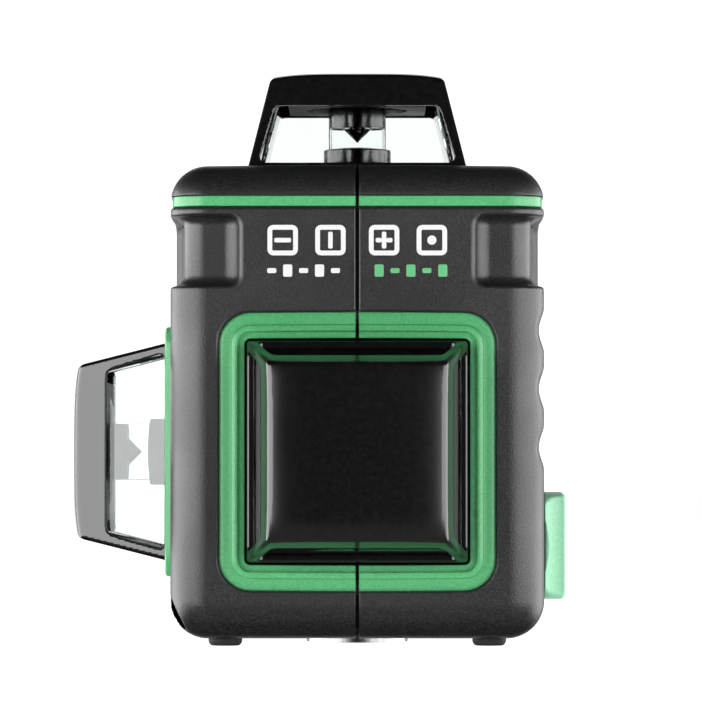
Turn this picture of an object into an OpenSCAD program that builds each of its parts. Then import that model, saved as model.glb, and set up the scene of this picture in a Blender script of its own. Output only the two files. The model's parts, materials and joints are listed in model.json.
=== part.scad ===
// Three-plane self-levelling laser level.
// Frame: origin at the mouth of the large tripod thread, in the plane of the feet.
// +X is the knob side, -Y is the front, +Z is up.  Units: millimetres.

/* [Body] */
// Width of the two-part casing
body_w = 84; // [80:1:88]
// Depth of the casing, front to back
body_d = 78; // [78:1:82]
// Height of the casing's top face above the feet plane
body_top = 106.5; // [104:0.5:110]
// Height of the feet, which is the gap under the casing
foot_h = 1.7; // [1.2:0.1:2.5]
// Radius of the upright edges
edge_r = 8; // [6:0.5:8]
// Radius round the top face
top_r = 8; // [6:0.2:8]
// Radius round the bottom face
bottom_r = 8.4; // [7:0.2:9]
// Wall of the casing
wall = 3; // [2.5:0.1:3]
// Visible gap between the two casing halves
seam_gap = 0.8; // [0.4:0.1:1]

/* [Window heads] */
// Height of the front and side beam axes
head_z = 43; // [42:0.5:44]
// Width of a window frame where it leaves the casing
head_w = 48.8; // [48:0.2:49]
// Width of a window frame at its outer end
cap_w = 38; // [36:0.5:40]
// How far a window frame stands out of the casing
head_h = 22; // [21:0.5:24]
// Height of the window opening's outer edge
window_h = 14; // [13.5:0.5:15]
// Thickness of a window pane
glass_t = 1.8; // [1.2:0.1:2]

/* [Self-levelling] */
// Height of the gimbal's two axes
pivot_z = 74; // [73:0.5:75]
// Radius of a pivot pin
pin_r = 1.47; // [1.4:0.01:1.49]
// Gap between the end of a pendulum pin and the bottom of its bearing pocket
pin_end_gap = 0.1; // [0.05:0.05:0.3]
// Radius of the spherical underside of the damping disc
swing_r = 43; // [42.8:0.1:43]
// Outer radius of a laser barrel
barrel_r = 7.65; // [7.4:0.05:7.7]
// Length of a laser barrel
barrel_len = 31; // [30:0.5:31]

/* [Transport lock] */
// Height of the knob's axis
knob_z = 21.7; // [21.5:0.1:22]
// Radius of the knob
knob_r = 12.2; // [11:0.2:13]
// Lift of the lock plunger over a quarter turn
lock_lift = 1.35; // [1:0.05:1.35]

/* [Hidden] */
$fn = 64;

// Casing
half_w = body_w / 2;
half_d = body_d / 2;
body_h = body_top - foot_h;
stripe_z = 97;          // lower edge of the coloured stripe
stripe_h = 2.4;
stripe_depth = 1.4;     // groove that holds the stripe
stripe_inset = 0.45;    // how far the stripe sits below the casing's surface
pocket_z = 79.2;        // lower edge of the thumb pockets
pocket_h = 16.1;
pocket_w = 17.4;        // along the front face
pocket_d = 45;          // along the side face
pocket_depth = 3.6;
pocket_wall = 2.2;
groove_pitch = 12.95;   // finger grooves on the knob side
groove_mid_z = 56.9;
groove_r = 5.2;
groove_depth = 1.8;
cut = 1;                // how far a cutter runs past the face it cuts

// Window heads
surround_w = 61;
surround_r = 6.2;
surround_floor = 1.2;   // depth of the recess that holds a surround
surround_rise = 0.15;
ridge_w = 55.4;
ridge_t = 1.3;
ridge_rise = 0.8;
ridge_r = 4.2;
ridge_inner_r = 3;
frame_gap = 0.3;        // between a window frame and what surrounds it
frame_r = 0.9;          // a frame's outer corners
frame_inner_r = 0.5;
hole_corner_r = 1;      // the openings' corners, which clear the frame's
frame_t = 1.6;          // thickness of a window frame's walls
flange_w = 53;
flange_t = 2;
flange_r = 3;
post_w = 2.1;           // frame left beside a window
post_flare = 0.6;       // how much wider a post is at its outer end
window_low = 1;         // lower edge of the window opening
baffle_t = 1.2;
baffle_hole_r = 12.6;
plate_w = 31;
plate_low = 14.2;
plate_t = 1.8;
plate_hole_r = 11.5;    // the swinging cone holder passes through it
plate_post_r = 1.4;
plate_post_inset = 2.5;
ceiling = 19;           // underside of a window frame's cap
taper = (head_w - cap_w) / 2 / head_h;

// Laser modules, measured outward from the casing's face
dome_top = 6;
dome_r = 34;
holder_low = 10.1;
holder_h = 5.4;
holder_r = 6.5;
cone_r = 3.3;
cone_h = 3.2;
tube_wall = 0.5;
barrel_low = dome_top - barrel_len;
diode_r = 3.2;
diode_room = 2.5;       // behind a barrel, for its diode
tube_low = 3.5;

// Gimbal
bearing_or = 3;
bearing_ir = 1.5;
bearing_w = 2.5;
ring_or = 22;
ring_ir = 18;
ring_h = 9;
upright_x = 27;
upright_t = 4;
upright_w = 30;
floor_z = foot_h + wall;            // inside floor of the casing
deck_z = floor_z + 4;               // top of the chassis base plate
neck_r = 9;
cross_pin_y = 6;        // inner end of a pendulum pin
block_w = 24;
block_low = 34;
block_high = 54;
side_weight = [9.5, 20, 18];        // balances the side laser
rear_weight = [24, 16.5, 12.3];     // balances the front laser
disc_r = 11.5;
disc_t = 5;

// Lock
shaft_r = 2.5;
cam_low_r = 3.85;
plunger_z = 25.7;
plunger_y = 9.5;
plunger_t = 2;
guide_r = 3.2;
shaft_gap = 0.05;
switch_at = [14, 4];
switch_size = [7, 5.5, 8];
switch_rise = 7.8;
carrier_z = 25.4;           // underside of the magnet carrier
carrier_t = 1.6;

// Rear
door_w = 59;
door_low = 8.5;
door_high = 51.5;
door_t = 1.8;
panel_w = 50;
panel_low = 63;
panel_high = 92;
panel_y = half_d - 1.4;
key_z = 75;
key_x = 15;
key_r = 5.1;
light_z = 86;
light_r = 1;
key_gap = 0.3;
key_low = 36.1;             // inner end of a key's stud
cell_r = 9.1;
cell_len = 50;
board_y = 31.5;
board_gap = 2;              // between the driver board and the upright
board_t = 1.6;
port_x = 15;
port_z = 57.3;
port_w = 13.6;
port_h = 6.2;
rear_screw_x = 30.8;
rear_screw_z = [58, 92];
base_screw = [24, 17];
foot_xy = [29.3, 26.5];
foot_r = 3.75;
foot_sunk = 1;              // how far a foot sits in the casing
screw_r = 1.45;
screw_hole_r = 1.6;
screw_head_r = 2.7;
screw_head_t = 1.6;
screw_recess = 2;
head_hole_r = 2.9;
hex_r = 1.3;                // the screws' hexagon sockets
hex_depth = 0.9;
pillar_y = 29.5;            // where the rear screws end
boss_r = 11.5;              // chassis boss round the large bush
boss_top = 14;
bush_large_r = 9;
bush_large_h = 12;
bush_small_r = 4.5;
knob_hole_r = 4.2;
seal_t = 1.1;
sleeve_r = 3;               // the knob's sleeve on its shaft
knob_gap = 0.3;             // between the knob and the casing
small_thread_y = 24;
thread_large_r = 6.75;
thread_small_r = 2.55;

// ---------- shared shapes ----------

module rounded_square(w, h, r) {
    square([w - 2 * r, h], center = true);
    square([w, h - 2 * r], center = true);
    for (x = [-1, 1], y = [-1, 1])
        translate([x * (w / 2 - r), y * (h / 2 - r)]) circle(r);
}

// Upright section with its own radius above and below, drawn from z = 0 upward.
module body_section(w, h, r_top, r_low) {
    translate([-w / 2 + r_low, 0]) square([w - 2 * r_low, h]);
    translate([-w / 2, r_low]) square([w, h - r_top - r_low]);
    for (x = [-1, 1]) {
        translate([x * (w / 2 - r_low), r_low]) circle(r_low);
        translate([x * (w / 2 - r_top), h - r_top]) circle(r_top);
    }
    translate([-w / 2 + r_top, r_low]) square([w - 2 * r_top, h - r_low]);
}

// The casing's outer form, shrunk by inset on every side.
module body_form(inset = 0) {
    w = body_w - 2 * inset;
    d = body_d - 2 * inset;
    h = body_h - 2 * inset;
    translate([0, 0, foot_h + inset]) intersection() {
        linear_extrude(h) rounded_square(w, d, edge_r - inset);
        translate([0, d / 2 + cut, 0]) rotate([90, 0, 0]) linear_extrude(d + 2 * cut)
            body_section(w, h, top_r - inset, bottom_r - inset);
        translate([-w / 2 - cut, 0, 0]) rotate([90, 0, 90]) linear_extrude(w + 2 * cut)
            body_section(d, h, top_r - inset, bottom_r - inset);
    }
}

module along_x(x, y, z) translate([x, y, z]) rotate([0, 90, 0]) children();
module along_y(x, y, z) translate([x, y, z]) rotate([-90, 0, 0]) children();

// Puts children on one face of the casing, with +Z pointing out of it.
module on_top() translate([0, 0, body_top]) children();
module on_side() translate([-half_w, 0, head_z]) rotate([0, -90, 0]) children();
module on_front() translate([0, -half_d, head_z]) rotate([90, 0, 0]) children();
module on_each_face() {
    on_top() children();
    on_side() children();
    on_front() children();
}

module corners(x, y) for (sx = [-1, 1], sy = [-1, 1]) translate([sx * x, sy * y, 0]) children();
module both_sides() for (s = [0, 1]) mirror([s, 0, 0]) children();

module tube(r, hole_r, h) difference() {
    cylinder(r = r, h = h);
    translate([0, 0, -cut]) cylinder(r = hole_r, h = h + 2 * cut);
}

// ---------- casing ----------

// Thumb pocket round one front corner; grow makes the wall behind it.
module pocket(grow = 0) {
    depth = pocket_depth + grow;
    translate([0, 0, pocket_z - grow]) linear_extrude(pocket_h + 2 * grow) difference() {
        translate([-half_w - cut, -half_d - cut])
            square([pocket_w + cut + grow, pocket_d + cut + grow]);
        rounded_square(body_w - 2 * depth, body_d - 2 * depth, edge_r - depth + 2);
    }
}

module finger_grooves() {
    for (i = [-1 : 1])
        translate([half_w - groove_depth + groove_r, 0, groove_mid_z + i * groove_pitch])
            rotate([90, 0, 0]) cylinder(r = groove_r, h = body_d + 2 * cut, center = true);
}

// Flat notch across the lower left edge.
module edge_notch() {
    notch_len = 25;
    notch_tilt = 26;
    notch_top = 11.5;
    notch_size = 16;
    translate([-half_w, -half_d - cut, notch_top]) rotate([0, -notch_tilt, 0])
        translate([-notch_size, 0, 2 - notch_size]) cube([notch_size, notch_len, notch_size]);
}

module cavity() {
    difference() {
        body_form(wall);
        both_sides() pocket(pocket_wall);
    }
}

module stripe_ring(inset) {
    translate([0, 0, stripe_z]) linear_extrude(stripe_h) difference() {
        rounded_square(body_w + 2 * cut, body_d + 2 * cut, edge_r + cut);
        rounded_square(body_w - 2 * inset, body_d - 2 * inset, edge_r - inset);
    }
}

module square_block(w, low, high, r = hole_corner_r) {
    translate([0, 0, low]) linear_extrude(high - low) rounded_square(w, w, r);
}

module window_holes() {
    hole_w = head_w + 2 * frame_gap;
    on_each_face() square_block(hole_w, -wall - cut, cut);
    on_side() surround_recess();
    on_front() surround_recess();
}

module surround_recess() square_block(surround_w, -surround_floor, cut, surround_r);

module door_pins(clear = 0) both_sides()
    along_x(door_w / 2 - cut, half_d - door_t / 2, door_low + door_t / 2)
        cylinder(r = 0.8 + clear, h = 1.5 + cut + 2 * clear);

module port_pins(clear = 0) for (s = [-1, 1])
    along_x(port_x + s * (port_w / 2 + 0.1), half_d - 0.65, port_z - port_h / 2 + 0.65)
        cylinder(r = 0.4 + clear, h = 1.2 + 2 * clear, center = true);

module rear_openings() {
    edge = 0.3;             // gap round the door
    lip = 2;                // ledges the panel rests on
    port_edge = 0.2;
    socket_w = 9;
    socket_h = 3.4;
    inside = half_d - wall - cut;
    translate([-door_w / 2 - edge, inside, door_low - edge])
        cube([door_w + 2 * edge, wall + 2 * cut, door_high - door_low + 2 * edge]);
    door_pins(0.05);
    translate([-panel_w / 2, panel_y, panel_low])
        cube([panel_w, wall, panel_high - panel_low]);
    translate([-panel_w / 2 + lip, inside, panel_low + lip])
        cube([panel_w - 2 * lip, wall, panel_high - panel_low - 2 * lip]);
    translate([port_x - port_w / 2 - port_edge, panel_y, port_z - port_h / 2 - port_edge])
        cube([port_w + 2 * port_edge, wall, port_h + 2 * port_edge]);
    translate([port_x - socket_w / 2, inside, port_z - socket_h / 2])
        cube([socket_w, wall, socket_h]);
    port_pins(0.1);
    for (z = rear_screw_z) both_sides() {
        along_y(rear_screw_x, half_d - screw_recess, z) cylinder(r = head_hole_r, h = wall);
        along_y(rear_screw_x, inside, z) cylinder(r = screw_hole_r, h = wall + cut);
    }
}

module bottom_openings() {
    foot_hole_r = foot_r + 0.05;
    bush_hole_r = 6.8;
    translate([0, 0, -cut]) cylinder(r = boss_r + 0.3, h = floor_z + 2 * cut);
    translate([0, small_thread_y, -cut]) cylinder(r = bush_hole_r, h = floor_z + 2 * cut);
    corners(foot_xy[0], foot_xy[1]) cylinder(r = foot_hole_r, h = foot_h + foot_sunk);
    corners(base_screw[0], base_screw[1]) {
        cylinder(r = head_hole_r, h = foot_h + screw_recess);
        cylinder(r = screw_hole_r, h = floor_z + cut);
    }
}

module seam() translate([-seam_gap / 2, 0, 0]) difference() {
    translate([0, -half_d - cut, 0]) cube([seam_gap, body_d + 2 * cut, body_top + cut]);
    translate([-cut, 0, 0]) intersection() {
        body_form(wall / 2);
        translate([0, -half_d, 0]) cube([seam_gap + 2 * cut, body_d, body_top]);
    }
}

module casing() {
    difference() {
        body_form();
        cavity();
        both_sides() pocket();
        finger_grooves();
        edge_notch();
        stripe_ring(stripe_depth);
        window_holes();
        rear_openings();
        bottom_openings();
        seam();
        along_x(half_w - wall - cut, 0, knob_z) cylinder(r = knob_hole_r, h = wall + 2 * cut);
    }
}

module left_half() translate([-body_w, -body_d, -cut]) cube([body_w, 2 * body_d, 2 * body_top]);
module right_half() translate([0, -body_d, -cut]) cube([body_w, 2 * body_d, 2 * body_top]);

module left_shell() color("dimgray") intersection() { casing(); left_half(); }
module right_shell() color("dimgray") intersection() { casing(); right_half(); }

module stripe() {
    difference() {
        translate([0, 0, stripe_z]) linear_extrude(stripe_h) difference() {
            rounded_square(body_w - 2 * stripe_inset, body_d - 2 * stripe_inset,
                edge_r - stripe_inset);
            rounded_square(body_w - 2 * stripe_depth, body_d - 2 * stripe_depth,
                edge_r - stripe_depth);
        }
        translate([-seam_gap / 2, -half_d, 0]) cube([seam_gap, body_d, body_top]);
    }
}

module left_stripe() color("mediumseagreen") intersection() { stripe(); left_half(); }
module right_stripe() color("mediumseagreen") intersection() { stripe(); right_half(); }

module surround() {
    hole_w = head_w + 2 * frame_gap;
    difference() {
        union() {
            square_block(surround_w, -surround_floor, surround_rise, surround_r);
            square_block(ridge_w, 0, ridge_rise, ridge_r);
        }
        square_block(ridge_w - 2 * ridge_t, surround_rise, ridge_rise + cut, ridge_inner_r);
        square_block(hole_w, -surround_floor - cut, ridge_rise + cut);
    }
}

module front_surround() difference() {
    on_front() surround();
    translate([-seam_gap / 2, -half_d - cut, 0]) cube([seam_gap, body_d, body_top]);
}

module front_surround_left() color("mediumseagreen")
    intersection() { front_surround(); left_half(); }
module front_surround_right() color("mediumseagreen")
    intersection() { front_surround(); right_half(); }
module side_surround() color("mediumseagreen") on_side() surround();

module rubber_feet() color("black") corners(foot_xy[0], foot_xy[1]) {
    chamfer = 0.5;
    cylinder(r1 = foot_r - chamfer, r2 = foot_r, h = chamfer);
    translate([0, 0, chamfer]) cylinder(r = foot_r, h = foot_h + foot_sunk - chamfer);
}

// ---------- window heads, drawn with +Z out of the casing ----------

function head_half(h) = head_w / 2 - taper * max(h, 0);

module slab(half, h, r) translate([0, 0, h]) linear_extrude(0.01)
    rounded_square(2 * half, 2 * half, r, $fn = 24);

module head_form(inset, low, high, r) hull() {
    slab(head_half(0) - inset, 0, r);
    if (low < 0) slab(head_half(0) - inset, low, r);
    slab(head_half(high) - inset, high - 0.01, r);
}

module window_cut() {
    lower = [head_half(window_low) - post_w, window_low];
    upper = [head_half(window_h) - post_w - post_flare, window_h];
    outline = [[-lower[0], lower[1]], lower, upper, [-upper[0], upper[1]]];
    for (turn = [0, 90]) rotate([0, 0, turn]) translate([0, head_w, 0]) rotate([90, 0, 0])
        linear_extrude(2 * head_w) polygon(outline);
}

module window_frame() color([0.06, 0.06, 0.06]) difference() {
    union() {
        head_form(0, -wall - flange_t, head_h, frame_r);
        square_block(flange_w, -wall - flange_t, -wall, flange_r);
    }
    head_form(frame_t, -wall - flange_t - cut, ceiling, frame_inner_r);
    window_cut();
}

module window_glass() color([0.8, 0.95, 0.9, 0.4]) for (turn = [0 : 90 : 270]) rotate([0, 0, turn])
    window_pane();

// One pane: it leans with the frame, and its ends clear the frame's rounded inner corners.
module window_pane() {
    pane_overlap = 1.5;     // how far a pane reaches behind the frame above its window
    low = -wall;
    high = window_h + pane_overlap;
    outer_low = head_half(low) - frame_t;
    outer_mid = head_half(0) - frame_t;
    outer_high = head_half(high) - frame_t;
    corner_gap = 1.4;
    mitre_gap = 0.05;
    heights = [low, 0, high];
    outer = [outer_low, outer_mid, outer_high];
    points = [for (i = [0 : 2]) for (t = [0, glass_t]) for (s = [-1, 1])
        [s * (outer[i] - max(t + mitre_gap, corner_gap)), -(outer[i] - t), heights[i]]];
    faces = [
        [0, 2, 3, 1],
        [0, 1, 5, 4], [4, 5, 9, 8],
        [3, 2, 6, 7], [7, 6, 10, 11],
        [2, 0, 4, 6], [6, 4, 8, 10],
        [1, 3, 7, 5], [5, 7, 11, 9],
        [8, 9, 11, 10]
    ];
    polyhedron(points, faces);
}

module stop_plate() {
    difference() {
        square_block(plate_w, plate_low, plate_low + plate_t);
        translate([0, 0, plate_low - cut]) cylinder(r = plate_hole_r, h = plate_t + 2 * cut);
    }
    corners(plate_w / 2 - plate_post_inset, plate_w / 2 - plate_post_inset)
        translate([0, 0, plate_low + plate_t])
            cylinder(r = plate_post_r, h = ceiling - plate_low - plate_t);
}

module baffle() {
    low = -wall - flange_t - baffle_t;
    difference() {
        square_block(flange_w, low, low + baffle_t, flange_r);
        translate([0, 0, low - cut]) cylinder(r = baffle_hole_r, h = baffle_t + 2 * cut);
    }
}

module top_window_frame() on_top() window_frame();
module side_window_frame() on_side() window_frame();
module front_window_frame() on_front() window_frame();
module top_window_glass() on_top() window_glass();
module side_window_glass() on_side() window_glass();
module front_window_glass() on_front() window_glass();
module stop_plates() color("black") on_each_face() stop_plate();
module baffles() color("black") on_each_face() baffle();

// ---------- chassis ----------

module chassis_base() color("silver") {
    plate = [66, 60];
    small_boss_r = 6.4;
    guide_h = 11.3;
    guide_hole_r = 1.55;
    guide_hole_z = 13;
    bracket = [4, 10, 16.3];    // holds the inner end of the lock shaft
    bracket_x = -9.5;
    difference() {
        union() {
            translate([-plate[0] / 2, -plate[1] / 2, floor_z])
                cube([plate[0], plate[1], deck_z - floor_z]);
            cylinder(r = boss_r, h = boss_top);
            translate([0, small_thread_y, 0]) cylinder(r = small_boss_r, h = deck_z);
            for (s = [-1, 1]) translate([0, s * plunger_y, deck_z]) cylinder(r = guide_r, h = guide_h);
            translate([bracket_x, -bracket[1] / 2, deck_z]) cube(bracket);
            translate([switch_at[0], switch_at[1], deck_z])
                cube([switch_size[0], switch_size[1], switch_rise]);
        }
        translate([0, 0, -cut]) cylinder(r = bush_large_r, h = bush_large_h + cut);
        translate([0, small_thread_y, -cut]) cylinder(r = bush_small_r, h = deck_z + 2 * cut);
        for (s = [-1, 1]) translate([0, s * plunger_y, guide_hole_z])
            cylinder(r = guide_hole_r, h = deck_z + guide_h);
        along_x(bracket_x - cut, 0, knob_z) cylinder(r = shaft_r + shaft_gap, h = bracket[0] + 2 * cut);
        corners(base_screw[0], base_screw[1]) cylinder(r = screw_r, h = deck_z + cut);
    }
}

module tripod_bush_large() color("gainsboro") tube(bush_large_r, thread_large_r, bush_large_h);
module tripod_bush_small() color("gainsboro")
    translate([0, small_thread_y, 0]) tube(bush_small_r, thread_small_r, deck_z);

module upright(window_w, window_low, window_high) {
    above_pivot = 8;
    pin_clear_r = 2.2;
    difference() {
        translate([upright_x, -upright_w / 2, deck_z])
            cube([upright_t, upright_w, pivot_z + above_pivot - deck_z]);
        translate([upright_x - cut, -window_w / 2, window_low])
            cube([upright_t + 2 * cut, window_w, window_high - window_low]);
        along_x(upright_x + upright_t - bearing_w, 0, pivot_z)
            cylinder(r = bearing_or, h = bearing_w + cut);
        along_x(upright_x - cut, 0, pivot_z) cylinder(r = pin_clear_r, h = upright_t + cut);
    }
}

module left_upright() color("silver") mirror([1, 0, 0]) upright(24, 28, 59);

module right_upright() color("silver") {
    board_post_r = 2;
    difference() {
        upright(18, 33, 62);
        along_x(upright_x - cut, 0, knob_z) cylinder(r = shaft_r + shaft_gap, h = upright_t + 2 * cut);
    }
    for (y = [-11, 11], z = [38, 76])
        along_x(upright_x + upright_t, y, z) cylinder(r = board_post_r, h = board_gap);
}

module upright_bearings() color("slategray") both_sides()
    along_x(upright_x + upright_t - bearing_w, 0, pivot_z) tube(bearing_or, bearing_ir, bearing_w);

module magnet_carrier() color("dimgray") {
    size = [32, 30];
    slot = [13, 26];        // the lock plunger passes through it
    difference() {
        translate([-size[0] / 2, -size[1] / 2, carrier_z]) cube([size[0], size[1], carrier_t]);
        translate([-slot[0] / 2, -slot[1] / 2, carrier_z - cut])
            cube([slot[0], slot[1], carrier_t + 2 * cut]);
    }
    corners(14, 12.8) translate([0, 0, deck_z]) cylinder(r = 2, h = carrier_z - deck_z);
}

module damping_magnets() color("lightgray") corners(10, 7)
    translate([0, 0, carrier_z + carrier_t]) cylinder(r = 2.5, h = 4);

module lock_switch() color("darkslategray")
    translate([switch_at[0], switch_at[1], deck_z + switch_rise]) {
        lever = [2, 2, 0.8];
        cube(switch_size);
        translate([1.5, 1.5, switch_size[2]]) cube(lever);
    }

// ---------- rear frame, boards and battery ----------

module rear_frame() color([0.15, 0.15, 0.15]) {
    bay_w = 57.4;
    bay_y = 15.5;
    bay_top = 52.4;
    bay_h = 42;
    bay_wall = 1;
    bay_floor = 0.8;
    pillar = [3.8, half_d - wall - 29, 44.6];
    pillar_x = 28.9;
    bar_h = 3;
    difference() {
        translate([-bay_w / 2, bay_y, deck_z])
            cube([bay_w, half_d - wall - bay_y, bay_top - deck_z]);
        translate([-bay_w / 2 + bay_wall, bay_y + bay_wall, deck_z + bay_floor])
            cube([bay_w - 2 * bay_wall, body_d, bay_h]);
    }
    both_sides() difference() {
        translate([pillar_x, half_d - wall - pillar[1], bay_top]) cube(pillar);
        for (z = rear_screw_z) along_y(rear_screw_x, pillar_y, z) cylinder(r = screw_r, h = 10);
    }
    for (z = [53, 93]) translate([-pillar_x, pillar_y, z]) cube([2 * pillar_x, board_y - pillar_y, bar_h]);
    both_sides() translate([24.7, 29, bay_top - 0.5]) cube([8, 7, 0.5]);
}

module main_board() color("darkgreen")
    translate([-28, board_y, 53.5]) cube([56, board_t, 42]);

module tact_switches() color("gray") for (x = [-key_x, 0, key_x]) {
    size = 6;
    height = 1.6;
    translate([x - size / 2, board_y + board_t, key_z - size / 2]) cube([size, height, size]);
    along_y(x, board_y + board_t + height, key_z) cylinder(r = 1.6, h = 0.6);
}

module charge_socket() color("silver") {
    outside = [8.8, 4.4, 3.2];
    shell_t = 0.5;
    tongue = [6.4, 3.4, 0.7];
    bore_y = board_y + board_t + 1;
    difference() {
        translate([port_x - outside[0] / 2, board_y + board_t, port_z - outside[2] / 2]) cube(outside);
        translate([port_x - outside[0] / 2 + shell_t, bore_y, port_z - outside[2] / 2 + shell_t])
            cube([outside[0] - 2 * shell_t, outside[1], outside[2] - 2 * shell_t]);
    }
    translate([port_x - tongue[0] / 2, bore_y, port_z - tongue[2] / 2]) cube(tongue);
}

module keypad_panel() color([0.05, 0.05, 0.05]) difference() {
    translate([-panel_w / 2, panel_y, panel_low])
        cube([panel_w, half_d - panel_y, panel_high - panel_low]);
    for (x = [-key_x, 0, key_x]) {
        along_y(x, panel_y - cut, key_z) cylinder(r = key_r + key_gap, h = 4);
        along_y(x, panel_y - cut, light_z) cylinder(r = light_r, h = 4);
    }
}

module indicator_lights() color("palegreen") for (x = [-key_x, 0, key_x])
    along_y(x, board_y + board_t, light_z) cylinder(r = light_r, h = half_d - board_y - board_t);

module driver_board() color("darkgreen") {
    board_x = upright_x + upright_t + board_gap;
    board = [board_t, 28, 46];
    plug = [1.2, 7, 7];
    translate([board_x, -board[1] / 2, 34]) cube(board);
    translate([board_x + board_t, -6, 64]) cube(plug);
}

module battery_pack() color("black") {
    size = [55, 20.1, 41.1];
    shell = [1.5, 0.9, 1.2];
    translate([-size[0] / 2, 16.8, 9.7]) difference() {
        cube(size);
        translate(shell) cube(size - 2 * shell);
    }
}

module battery_cells() color("steelblue") for (z = [20.1, 40.4])
    along_x(-cell_len / 2, 26.85, z) cylinder(r = cell_r, h = cell_len);

module battery_contacts() color("goldenrod") for (x = [-12, 12])
    translate([x - 2, 16.5, 38]) cube([4, 0.3, 10]);

// A screw pointing along +Z, with the outer face of its head at z = 0.
module screw(len) {
    difference() {
        cylinder(r = screw_head_r, h = screw_head_t);
        translate([0, 0, -cut]) cylinder(r = hex_r, h = hex_depth + cut, $fn = 6);
    }
    translate([0, 0, screw_head_t]) cylinder(r = screw_r, h = len - screw_head_t);
}

module base_screws() color("gray") corners(base_screw[0], base_screw[1])
    translate([0, 0, foot_h + screw_recess - screw_head_t])
        screw(deck_z - foot_h - screw_recess + screw_head_t);

module rear_screws() color("gray") for (z = rear_screw_z) both_sides()
    translate([rear_screw_x, half_d - screw_recess + screw_head_t, z]) rotate([90, 0, 0])
        screw(half_d - screw_recess + screw_head_t - pillar_y);

module knob_seal() color("black") along_x(half_w - wall / 2, 0, knob_z)
    rotate_extrude() translate([(sleeve_r + knob_hole_r) / 2, 0]) circle(seal_t / 2);

// ---------- gimbal and pendulum ----------

module gimbal_ring() color("silver") translate([0, 0, pivot_z]) difference() {
    translate([0, 0, -ring_h / 2]) tube(ring_or, ring_ir, ring_h);
    rotate([0, 90, 0]) cylinder(r = pin_r, h = 3 * ring_or, center = true);
    rotate([90, 0, 0]) cylinder(r = bearing_or, h = 2 * (ring_ir + bearing_w), center = true);
}

module ring_pins() color("lightgray") both_sides()
    along_x(ring_ir, 0, pivot_z) cylinder(r = pin_r, h = upright_x + upright_t - ring_ir);

module ring_bearings() color("slategray") for (s = [0, 1]) mirror([0, s, 0])
    along_y(0, ring_ir, pivot_z) tube(bearing_or, bearing_ir, bearing_w);

module pendulum_body() color("darkgray") {
    neck_top = 93;
    side_socket_x = -28;
    front_socket_y = -26;
    difference() {
        union() {
            translate([-block_w / 2, -block_w / 2, block_low])
                cube([block_w, block_w, block_high - block_low]);
            translate([0, 0, block_high]) cylinder(r = neck_r, h = neck_top - block_high);
            along_x(side_socket_x, 0, head_z) cylinder(r = neck_r, h = -side_socket_x - block_w / 2);
            along_y(0, front_socket_y, head_z) cylinder(r = neck_r, h = -front_socket_y - block_w / 2);
        }
        on_each_face() {
            translate([0, 0, barrel_low]) cylinder(r = barrel_r, h = barrel_len);
            translate([0, 0, barrel_low - diode_room]) cylinder(r = 4, h = diode_room + cut);
        }
        cross_pin_holes();
    }
}

module cross_pin_holes() for (s = [0, 1]) mirror([0, s, 0])
    along_y(0, cross_pin_y, pivot_z) cylinder(r = pin_r, h = neck_r);

module pendulum_pins() color("lightgray") for (s = [0, 1]) mirror([0, s, 0])
    along_y(0, cross_pin_y, pivot_z)
        cylinder(r = pin_r, h = ring_ir + bearing_w - pin_end_gap - cross_pin_y);

module balance_weights() color("goldenrod") {
    translate([block_w / 2, -side_weight[1] / 2, 35]) cube(side_weight);
    difference() {
        translate([-rear_weight[0] / 2, 3, 55.6]) cube(rear_weight);
        translate([0, 0, block_high]) cylinder(r = neck_r, h = 20);
    }
}

module damping_disc() color("peru") intersection() {
    translate([0, 0, block_low - disc_t]) cylinder(r = disc_r, h = disc_t);
    translate([0, 0, pivot_z]) sphere(swing_r, $fn = 200);
}

module dome() translate([0, 0, dome_top - dome_r]) sphere(dome_r, $fn = 200);

module laser_barrel() difference() {
    intersection() {
        translate([0, 0, barrel_low]) cylinder(r = barrel_r, h = barrel_len);
        dome();
    }
    translate([0, 0, barrel_low + 3]) cylinder(r = holder_r - tube_wall, h = barrel_len);
    translate([0, 0, tube_low]) cylinder(r = holder_r, h = 5);
    translate([0, 0, barrel_low - cut]) cylinder(r = diode_r, h = 6);
}

module collimator_lens() intersection() {
    translate([0, 0, tube_low - cut]) cylinder(r = holder_r - tube_wall, h = 5);
    dome();
}

module laser_diode() {
    case_h = 5;
    translate([0, 0, barrel_low - 1]) cylinder(r = diode_r, h = case_h);
    translate([0, 0, barrel_low + case_h - 1]) cylinder(r = 2.3, h = 3);
}

module laser_barrels() color("silver") on_each_face() laser_barrel();
module collimator_lenses() color("lightcyan") on_each_face() collimator_lens();
module laser_diodes() color("goldenrod") on_each_face() laser_diode();
module cone_tubes() color("azure") on_each_face()
    translate([0, 0, tube_low]) tube(holder_r, holder_r - tube_wall, holder_low - tube_low);
module cone_holders() color("silver") on_each_face()
    translate([0, 0, holder_low]) cylinder(r = holder_r, h = holder_h);
module cone_mirrors() color("lightgray") on_each_face()
    translate([0, 0, holder_low - cone_h]) cylinder(r1 = 0, r2 = cone_r, h = cone_h);

// ---------- transport lock ----------

module lock_knob() color("mediumaquamarine") {
    skirt_x = half_w + knob_gap;
    skirt_t = 1.4;
    grip_t = 3.5;
    grip_half = 4.2;
    grip_draft = 0.9;
    along_x(skirt_x, 0, knob_z) cylinder(r = knob_r, h = skirt_t);
    along_x(half_w - wall, 0, knob_z) tube(sleeve_r, shaft_r, wall + knob_gap);
    along_x(skirt_x + skirt_t, 0, knob_z) intersection() {
        cylinder(r1 = knob_r, r2 = knob_r - grip_draft, h = grip_t);
        translate([-knob_r, -grip_half, -cut]) cube([2 * knob_r, 2 * grip_half, grip_t + 2 * cut]);
    }
}

// Radius of the lock cam, which climbs evenly over a quarter turn.
function cam_r(a) = cam_low_r + lock_lift * min(max(a, 0), 90) / 90;

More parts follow.
